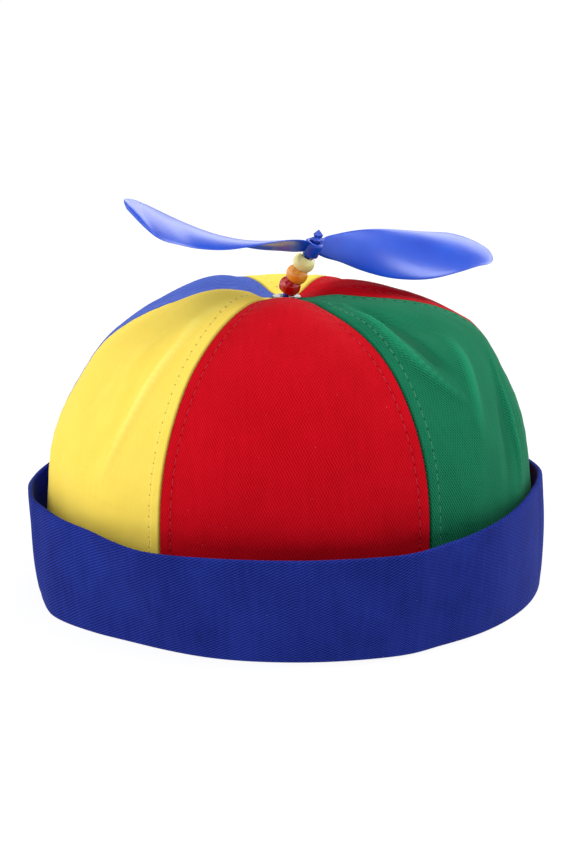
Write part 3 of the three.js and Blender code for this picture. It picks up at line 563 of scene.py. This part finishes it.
gore_cloths = {
    "red_cloth": twill("twill_red", colour(158, 0, 2), colour(210, 12, 34), 64, 0.00085, 0.5, 0.0, 0.6, 0.28),
    "green_cloth": twill("twill_green", colour(0, 66, 42), colour(28, 122, 86), 64, 0.00085, 0.5, 0.3, 1.0, 0.34),
    "yellow_cloth": twill("twill_yellow", colour(240, 208, 78), colour(252, 230, 112), 64, 0.00085, 0.6, 0.6,
                          0.3, 0.12),
    "blue_cloth": twill("twill_blue", colour(24, 42, 134), colour(90, 114, 200), 64, 0.00085, 0.4, 0.1, 0.9, 0.5),
}

spread = np.linspace(-1, 1, gore_columns + 1)
gore_across = 0.8 * np.sin(spread * np.pi / 2) + 0.2 * spread
gore_rise = np.concatenate([np.linspace(0, 0.9, gore_rows - 30), np.linspace(0.9, 1, 31)[1:]])
across, rise = np.meshgrid(gore_across, gore_rise)
for number, gore in enumerate(gores):
    outer, edge = gore_points(number, across, rise)
    inner, _ = gore_points(number, across, rise, cloth, False)
    piece = add_object("cloth_" + gore["node"], np.concatenate([outer.reshape(-1, 3), inner.reshape(-1, 3)]),
                       wall_faces(*across.shape))
    half_width = math.radians(gore_angle / 2) * np.interp(rise, line_rise, line_radius)
    grain = np.stack([across * half_width, rise * seam_length], axis=-1) * millimetre
    seam = np.stack([edge, rise * seam_length], axis=-1) * millimetre
    add_uv(piece, "grain", np.concatenate([grain.reshape(-1, 2)] * 2))
    add_uv(piece, "seam", np.concatenate([seam.reshape(-1, 2)] * 2))
    # The crease heights also drive the twill's painted highlight on ridges and painted shade in hollows.
    crease = fold_lift(gore["creases"], across, rise, half_width).reshape(-1, 1) * (1, 0)
    add_uv(piece, "crease", np.concatenate([crease] * 2))
    piece.data.materials.append(gore_cloths[gore["slot"]])
    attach(piece, "root")
    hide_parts(gore["node"])

# The topstitching: polyester thread in each gore's colour, one row down each side of every seam. Each
# stitch is a short arc of thread that dives into its two needle holes.
thread_radius = 0.15
thread_sides = 6
stitch_start = 0.07
stitch_end = 0.9


def thread_rings(centres, outward, forward):
    """Rings round a thread: at each centre, a circle across the way that the thread runs."""
    sideways = np.cross(forward, outward)
    sideways /= np.linalg.norm(sideways, axis=-1, keepdims=True)
    turn = np.arange(thread_sides) * 2 * np.pi / thread_sides
    return (centres[..., None, :] + thread_radius * (np.cos(turn)[:, None] * outward[..., None, :]
                                                     + np.sin(turn)[:, None] * sideways[..., None, :]))


def chain_faces(count, rings, sides):
    """Faces of a row of separate tubes, each with its rings one after the other and its two ends capped."""
    ring, side = np.meshgrid(np.arange(rings - 1), np.arange(sides), indexing="ij")
    here = ring * sides + side
    beside = ring * sides + (side + 1) % sides
    tube = np.stack([here, beside, beside + sides, here + sides], axis=-1).reshape(-1, 4)
    starts = np.arange(count)[:, None, None] * rings * sides
    walls = (tube[None] + starts).reshape(-1, 4).tolist()
    cap = np.arange(sides)[::-1]
    first = (cap[None] + starts[:, 0]).tolist()
    last = (np.arange(sides)[None] + (rings - 1) * sides + starts[:, 0]).tolist()
    return walls + first + last


def stitch_thread(name, tint):
    """Sewing thread: a soft sheen and two plies twisted along the stitch."""
    material, wire = new_material(name)
    place = wire.node("ShaderNodeTexCoord", {}, {}, "Object")
    twist = wire.node("ShaderNodeTexWave", {"bands_direction": "DIAGONAL"}, {"Vector": place, "Scale": 900.0}, "Fac")
    surface_output(wire, {
        "Base Color": wire.blend(twist, tuple(v * 0.8 for v in tint[:3]) + (1.0,), tint),
        "Roughness": 0.6,
        "Sheen Weight": 0.03,
        "Normal": wire.node("ShaderNodeBump", {}, {"Strength": 0.3, "Distance": 0.0001, "Height": twist}),
    })
    return material


thread_tints = {
    "red_cloth": stitch_thread("thread_red", colour(186, 6, 26)),
    "green_cloth": stitch_thread("thread_green", colour(64, 154, 116)),
    "yellow_cloth": stitch_thread("thread_yellow", colour(255, 236, 124)),
    "blue_cloth": stitch_thread("thread_blue", colour(96, 122, 210)),
}
stitch_way = np.arange(math.ceil(stitch_start * seam_length / stitch_pitch), stitch_end * seam_length / stitch_pitch)
stitch_share = np.linspace(-0.3, 0.3, 7)
for number, gore in enumerate(gores):
    rows = []
    for side in (-1, 1):
        way = (stitch_way[:, None] + 0.5 + stitch_share) * stitch_pitch
        rise = way / seam_length
        half_width = math.radians(gore_angle / 2) * np.interp(rise, line_rise, line_radius)
        kept = half_width.min(axis=1) > stitch_inset + 0.6
        rise, half_width = rise[kept], half_width[kept]
        across = side * (1 - stitch_inset / half_width)
        on_cloth, _ = gore_points(number, across, rise)
        below, _ = gore_points(number, across, rise, 1.0)
        outward = on_cloth - below
        forward = np.gradient(on_cloth, axis=1)
        forward /= np.linalg.norm(forward, axis=-1, keepdims=True)
        arch = 0.2 * np.sqrt(1 - (stitch_share / 0.32) ** 2) - 0.12
        rows.append(thread_rings(on_cloth + outward * arch[:, None], outward, forward))
    rings = np.concatenate(rows)
    piece = add_object("topstitch_" + gore["node"][6:], rings,
                       chain_faces(rings.shape[0], rings.shape[1], thread_sides))
    piece.data.materials.append(thread_tints[gore["slot"]])
    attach(piece, "root")

# The cuff: one band of doubled blue twill, turned up round the foot of the crown. Its fold rests on the
# surface, its outer leg stands and leans out, and its inner leg goes up inside the crown, which is sewn to it.
cuff_height = 39.4
cuff_floor = 2.0
cuff_roll = 0.8
cuff_belly = 0.8
inner_leg_height = 11.0
cuff_columns = 480
cuff_fold_strength = 1.4
# Soft upright folds of the outer leg: azimuth, half width in degrees, height in millimetres, and where each is
# strongest between the foot at 0 and the top edge at 1.
cuff_folds = [
    (-66, 3.0, 0.7, 0.45), (-52, 8, 0.5, 0.7), (-33, 6, -0.5, 0.3), (-8, 9, -0.5, 0.5), (17, 8, 0.45, 0.6),
    (30, 5, -0.45, 0.6), (48, 9, 0.5, 0.4), (74.5, 1.3, 0.35, 0.6), (79, 1.3, 0.35, 0.6), (100, 8, -0.5, 0.4),
    (130, 10, 0.5, 0.6), (162, 9, -0.5, 0.5), (195, 8, 0.5, 0.5), (228, 9, -0.5, 0.6), (258, 8, 0.5, 0.4),
]
azimuth = crown_turn + np.arange(cuff_columns) * 360 / cuff_columns
foot = cuff_radius * read_round(cuff_sections, 1, azimuth)
leg_height = cuff_height * read_round(cuff_sections, 2, azimuth)
lean = np.radians(read_round(cuff_sections, 3, azimuth))


def cuff_leg(share, depth):
    """A point of the outer leg: a share of its height up the slant, with a soft belly and folds, at a depth."""
    waves = np.zeros(cuff_columns)
    for middle, width, height, strongest in cuff_folds:
        turn = (azimuth - middle + 180) % 360 - 180
        waves += cuff_fold_strength * height * np.exp(-(turn / width) ** 2) * np.exp(-((share - strongest) / 0.6) ** 2)
    waves += 0.16 * ripples(azimuth * 1.7, share * leg_height, 30, 5)
    out = cuff_belly * 4 * share * (1 - share) + waves * ease(np.full(cuff_columns, share), 0, 0.2) - depth
    up = leg_height * share
    return foot + up * np.sin(lean) + out * np.cos(lean), up * np.cos(lean) - out * np.sin(lean)


def crown_wall(height):
    """The crown's outside radius at a height on its wall."""
    hem_radius = foot - cuff_thickness - groove_gap
    return hem_radius + (dome_radius - hem_radius) * ease(np.full(cuff_columns, float(height)), hem, dome_start)


def rounded(middle_share, reach, turns):
    """The cuff's top edge: half a circle over the leg's thickness."""
    corners = []
    for turn in turns:
        depth = cuff_thickness / 2 * (1 - math.cos(turn))
        corners.append(cuff_leg(middle_share + reach * math.sin(turn), depth))
    return corners


top_share = 0.975
cuff_outline = [(foot - cuff_roll * (1 - math.sin(turn)), cuff_roll * (1 - math.cos(turn)) + 0 * foot)
                for turn in np.linspace(0, math.pi / 2, 6)[:-1]]
cuff_outline += [cuff_leg(share, 0) for share in np.linspace(cuff_roll / cuff_height, top_share, 44)[:-1]]
cuff_outline += rounded(top_share, 1 - top_share, np.linspace(0, math.pi, 9))
cuff_outline += [cuff_leg(share, cuff_thickness) for share in np.linspace(top_share, 0.1, 20)[1:]]
inner_face = crown_wall(hem) - cloth - groove_gap
inner_top = crown_wall(inner_leg_height) - cloth - groove_gap


def level(height):
    """One height all round the cuff."""
    return np.full(cuff_columns, float(height))


cuff_outline += [(foot - cuff_thickness, level(cuff_floor)), (inner_face, level(cuff_floor))]
cuff_outline += [(inner_face + (inner_top - inner_face) * share,
                  level(cuff_floor + (inner_leg_height - cuff_floor) * share)) for share in (0.3, 0.6, 0.95)]
cuff_outline += [(inner_top - cuff_thickness / 2, level(inner_leg_height + 0.3)),
                 (inner_top - cuff_thickness, level(inner_leg_height - 0.4))]
cuff_outline += [(inner_face - cuff_thickness, level(cuff_roll)), (inner_face - cuff_thickness + cuff_roll, level(0))]
rings = np.stack([polar(azimuth, radius, height) for radius, height in cuff_outline], axis=1)
around, outline_points = rings.shape[:2]
place = np.arange(around * outline_points).reshape(around, outline_points)
beside, above = np.roll(place, -1, axis=0), np.roll(place, -1, axis=1)
cuff_faces = np.stack([place, beside, np.roll(beside, -1, axis=1), above], axis=-1).reshape(-1, 4).tolist()
cuff = add_object("cloth_cuff", rings, cuff_faces)
path = np.linalg.norm(np.diff(rings, axis=1), axis=-1).mean(axis=0)
up_path = np.concatenate([[0], np.cumsum(path)])
grain = np.stack(np.broadcast_arrays(np.radians(azimuth)[:, None] * cuff_radius, up_path[None, :]), axis=-1) * millimetre
layer = cuff.data.uv_layers.new(name="grain")
corners = np.empty(len(cuff.data.loops), int)
cuff.data.loops.foreach_get("vertex_index", corners)
corner_uv = grain.reshape(-1, 2)[corners].reshape(-1, 4, 2)
wrapped = np.ptp(corner_uv[..., 0], axis=1) > 0.1
corner_uv[wrapped, :, 0] += np.where(corner_uv[wrapped, :, 0] < 0.3, 2 * np.pi * cuff_radius * millimetre, 0)
closing = np.ptp(corner_uv[..., 1], axis=1) > 0.05
corner_uv[closing, :, 1] = np.where(corner_uv[closing, :, 1] < 0.02, up_path[-1] * millimetre + millimetre,
                                    corner_uv[closing, :, 1])
layer.data.foreach_set("uv", corner_uv.astype(np.float32).ravel())
cuff.data.materials.append(twill("twill_cuff", colour(4, 8, 72), colour(41, 60, 160), -28, 0.0009,
                                 0.0, 0.4, 0.55, 0.4))
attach(cuff, "root")
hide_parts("cuff")

# The eyelet: a nickel-plated ring that is rolled over the tips of the gores, inside and outside.
eyelet_place = np.array([-0.345, 0.6444, 107.7])
eyelet_bore = 2.7
eyelet_flange = 5.6
eyelet_slot = 0.9
eyelet_half = 1.5
eyelet_barrel = 3.4


def lathe(outline, sides, middle=(0, 0, 0), direction=(0, 0, 1)):
    """A turned ring: a closed outline of (radius, height) pairs carried round an axis through a place."""
    direction = np.array(direction, float) / np.linalg.norm(direction)
    side = np.cross((0.0, 1.0, 0.0), direction)
    side /= np.linalg.norm(side)
    front = np.cross(direction, side)
    turn = np.arange(sides) * 2 * np.pi / sides
    radius, height = np.array(outline).T
    spoke = np.cos(turn)[:, None] * side + np.sin(turn)[:, None] * front
    points = np.array(middle) + radius[None, :, None] * spoke[:, None, :] + height[None, :, None] * direction
    place = np.arange(sides * len(outline)).reshape(sides, len(outline))
    beside, above = np.roll(place, -1, axis=0), np.roll(place, -1, axis=1)
    faces = np.stack([place, beside, np.roll(beside, -1, axis=1), above], axis=-1).reshape(-1, 4)
    return points, faces.tolist()


def roll_over(inside, outside, low, high, steps=10):
    """Half an ellipse over a flange, from its outer edge to its inner edge, at low heights and crowned at high."""
    turn = np.linspace(0, np.pi, steps)
    middle, half = (inside + outside) / 2, (outside - inside) / 2
    return [(middle + half * math.cos(t), low + (high - low) * math.sin(t) ** 0.8) for t in turn]


eyelet_outline = [(eyelet_barrel, -eyelet_slot), (eyelet_barrel, eyelet_slot)]
eyelet_outline += roll_over(eyelet_bore, eyelet_flange, eyelet_slot, eyelet_half)
eyelet_outline += [(r, -h) for r, h in reversed(roll_over(eyelet_bore, eyelet_flange, eyelet_slot, eyelet_half))]
eyelet = add_object("eyelet_ring", *lathe(eyelet_outline, 64, eyelet_place))
nickel, wire = new_material("nickel_plate")
place = wire.node("ShaderNodeTexCoord", {}, {}, "Object")
scuffs = wire.noise(place, 1400.0, 4.0, 0.7)
surface_output(wire, {
    "Base Color": wire.blend(scuffs, (0.18, 0.18, 0.19, 1), (0.4, 0.39, 0.38, 1)),
    "Metallic": 1.0,
    "Roughness": 0.22 + 0.22 * scuffs,
    "Normal": wire.node("ShaderNodeBump", {}, {"Strength": 0.15, "Distance": 0.0001, "Height": scuffs}),
})
eyelet.data.materials.append(nickel)
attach(eyelet, "root")
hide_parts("eyelet")

# The beads: three plain moulded pony beads, loose on the stem, each with its moulding ring at the bore.
bead_direction = np.array([0.49267, -0.16008, 0.85536])
bead_half_length = 2.6
bead_bore = 2.05
bead_radius = 4.1
bead_face = 3.1
bead_long_half = bead_half_length / math.sqrt(1 - (bead_face / bead_radius) ** 2)
beads = [
    ("bead_red", (0.9944, -1.9841, 113.2443), "red_plastic", colour(176, 3, 7), colour(208, 14, 18), 0.15),
    ("bead_orange", (3.6055, -2.8325, 117.7777), "orange_plastic", colour(255, 136, 20), colour(255, 184, 66), 0.3),
    ("bead_yellow", (6.2167, -3.6809, 122.3112), "yellow_plastic", colour(246, 232, 138), colour(254, 248, 182), 0.4),
]


def moulded_plastic(name, deep, pale, glow, radius=(0.002, 0.0012, 0.0008)):
    """Moulded plastic: slightly cloudy colour, a smooth skin with faint flow marks, and light that goes in."""
    material, wire = new_material(name)
    place = wire.node("ShaderNodeTexCoord", {}, {}, "Object")
    cloud = wire.noise(place, 260.0, 3.0, 0.6)
    skin = wire.noise(place, 1900.0, 2.0)
    surface_output(wire, {
        "Base Color": wire.blend(cloud, deep, pale),
        "Roughness": 0.13 + 0.12 * skin,
        "IOR": 1.5,
        "Subsurface Weight": glow,
        "Subsurface Radius": radius,
        "Subsurface Scale": 1.0,
        "Coat Weight": 0.35,
        "Coat Roughness": 0.08,
        "Normal": wire.node("ShaderNodeBump", {}, {"Strength": 0.06, "Distance": 0.0001, "Height": cloud}),
    })
    return material


for name, middle, slot, deep, pale, glow in beads:
    height = np.linspace(-bead_half_length + 0.15, bead_half_length - 0.15, 25)
    outline = [(bead_radius * math.sqrt(1 - (h / bead_long_half) ** 2), h) for h in height]
    lip = [(bead_face, bead_half_length), (bead_bore + 0.25, bead_half_length), (bead_bore, bead_half_length - 0.25)]
    outline = [(r, -h) for r, h in reversed(lip)] + outline + lip
    bead = add_object("moulded_" + name, *lathe(outline, 56, middle, bead_direction))
    bead.data.materials.append(moulded_plastic("plastic_" + name, deep, pale, glow))
    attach(bead, name + "_body")
    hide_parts(name)

# The propeller: two blades and a tapered hub, injection moulded in one piece in translucent blue plastic.
# It turns freely on the stem above the beads.
blade_reach = 81.6
blade_chord = 32.0
blade_thickness = 1.1
blade_camber = 1.4
blade_rise = 10.0
blade_turn = 29.2
hub_rise = 2.6
hub_drop = 3.1
hub_top_radius = 3.4
hub_foot_radius = 2.9
hub_bore = 2.1
hub_place = np.array([9.4453, -4.7299, 127.9165])
hub_direction = np.array([0.318595, -0.214895, 0.92321])
# From root to tip: reach, lead and trail of the chord, pitch in degrees, and each blade's rise, as shares.
blade_sections = [
    (0.03, 0.09, 0.069, 65, 0, 0), (0.07, 0.144, 0.103, 60, 0.01, -0.01), (0.15, 0.197, 0.15, 49, 0.03, -0.02),
    (0.25, 0.256, 0.265, 37, 0.08, -0.05), (0.4, 0.328, 0.438, 22.5, 0.19, -0.08), (0.55, 0.39, 0.54, 11, 0.3, -0.03),
    (0.7, 0.41, 0.54, 2.6, 0.46, 0.14), (0.82, 0.45, 0.47, -1.6, 0.54, 0.4), (0.92, 0.5, 0.41, -3.5, 0.56, 0.63),
    (0.97, 0.55, 0.37, -3.9, 0.57, 0.8), (1, 0.56, 0.34, -3.9, 0.57, 0.9),
]
blade_tip_start = 0.86
blade_rings = 110
blade_steps = 44


def blade_points(side_column):
    """One blade along +X from the hub's axis: at each reach a cambered section, thinner towards its edges, turned
    by its pitch and raised by its bend. Past the tip's start both sides of the chord shrink as a quarter of an
    ellipse, which rounds the tip, and the rings crowd towards it."""
    table = np.array(blade_sections)
    root = (hub_bore + 0.3) / blade_reach
    reach = 1 - (1 - root) * (1 - np.linspace(0, 1, blade_rings)) ** 2
    past_start = np.clip((reach - blade_tip_start) / (1 - blade_tip_start), 0, 1)
    width = blade_chord * np.maximum(np.sqrt(1 - past_start ** 2), 0.02)
    lead = (width * read_smooth(table[:, 0], table[:, 1], reach))[:, None]
    trail = (width * read_smooth(table[:, 0], table[:, 2], reach))[:, None]
    pitch = np.radians(read_smooth(table[:, 0], table[:, 3], reach))[:, None]
    lift = blade_rise * read_smooth(table[:, 0], table[:, side_column], reach)[:, None]
    turn = np.linspace(0, 2 * np.pi, blade_steps, endpoint=False)[None, :]
    place = 0.5 - 0.5 * np.cos(turn)
    face = np.sign(np.sin(turn)) * (1 - (2 * place - 1) ** 4) ** 0.5
    camber = blade_camber * 4 * place * (1 - place) * (lead + trail) / blade_chord
    across = -trail + (lead + trail) * place
    off = camber + face * blade_thickness / 2
    return np.stack(np.broadcast_arrays(blade_reach * reach[:, None], across * np.cos(pitch) - off * np.sin(pitch),
                                        across * np.sin(pitch) + off * np.cos(pitch) + lift), axis=-1)


def tube_faces(rings, sides, offset=0):
    """Faces of one tube whose two ends are capped."""
    place = np.arange(rings * sides).reshape(rings, sides)
    beside = np.roll(place, -1, axis=1)
    walls = np.stack([place[:-1], place[1:], beside[1:], beside[:-1]], axis=-1).reshape(-1, 4) + offset
    return walls.tolist() + [(place[0] + offset).tolist(), (place[-1, ::-1] + offset).tolist()]


line_out = np.array([1.0, 0, 0]) - hub_direction * hub_direction[0]
line_out /= np.linalg.norm(line_out)
turn = math.radians(blade_turn)
blade_line = line_out * math.cos(turn) + np.cross(hub_direction, line_out) * math.sin(turn)
hub_basis = np.stack([blade_line, np.cross(hub_direction, blade_line), hub_direction])
right = blade_points(4)
left = blade_points(5) * (-1, -1, 1)
hub_outline = [(hub_bore, -hub_drop + 0.2), (hub_bore + 0.2, -hub_drop), (hub_foot_radius - 0.2, -hub_drop),
               (hub_foot_radius, -hub_drop + 0.2), (hub_top_radius, hub_rise / 2), (hub_top_radius, hub_rise - 0.3),
               (hub_top_radius - 0.3, hub_rise), (hub_bore + 0.2, hub_rise), (hub_bore, hub_rise - 0.2)]
hub_points, hub_faces = lathe(hub_outline, 64, (0, 0, 0), (0, 0, 1))
points = np.concatenate([right.reshape(-1, 3), left.reshape(-1, 3), hub_points.reshape(-1, 3)])
points = points @ hub_basis + hub_place
count = blade_rings * blade_steps
faces = tube_faces(blade_rings, blade_steps) + tube_faces(blade_rings, blade_steps, count)
faces += [[v + 2 * count for v in face] for face in hub_faces]
propeller = add_object("moulded_propeller", points, faces)
translucent, wire = new_material("plastic_propeller")
place = wire.node("ShaderNodeTexCoord", {}, {}, "Object")
cloud = wire.noise(place, 60.0, 3.0, 0.6)
skin = wire.noise(place, 1500.0, 2.0)
surface_output(wire, {
    "Base Color": wire.blend(cloud, colour(0, 48, 180), colour(0, 88, 220)),
    "Roughness": 0.26 + 0.1 * skin,
    "IOR": 1.45,
    "Coat Weight": 0.2,
    "Coat Roughness": 0.25,
    "Normal": wire.node("ShaderNodeBump", {}, {"Strength": 0.1, "Distance": 0.0004, "Height": cloud}),
})
propeller.data.materials.append(translucent)
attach(propeller, "propeller_body")
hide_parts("propeller")

# The stem: a moulded blue post from a disc under the eyelet, up through the beads and the hub, to a faceted
# head with barbs that keeps the propeller on. Its solid already has the real shape.
stem_plastic, wire = new_material("plastic_stem")
place = wire.node("ShaderNodeTexCoord", {}, {}, "Object")
cloud = wire.noise(place, 400.0, 3.0, 0.6)
surface_output(wire, {
    "Base Color": wire.blend(cloud, colour(14, 40, 150), colour(30, 84, 214)),
    "Roughness": 0.16 + 0.14 * cloud,
    "Subsurface Weight": 0.2,
    "Subsurface Radius": (0.0005, 0.001, 0.003),
    "Subsurface Scale": 1.0,
    "Coat Weight": 0.4,
    "Coat Roughness": 0.1,
    "Normal": wire.node("ShaderNodeBump", {}, {"Strength": 0.1, "Distance": 0.0002, "Height": cloud}),
})
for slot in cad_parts["stem"].material_slots:
    slot.material = stem_plastic
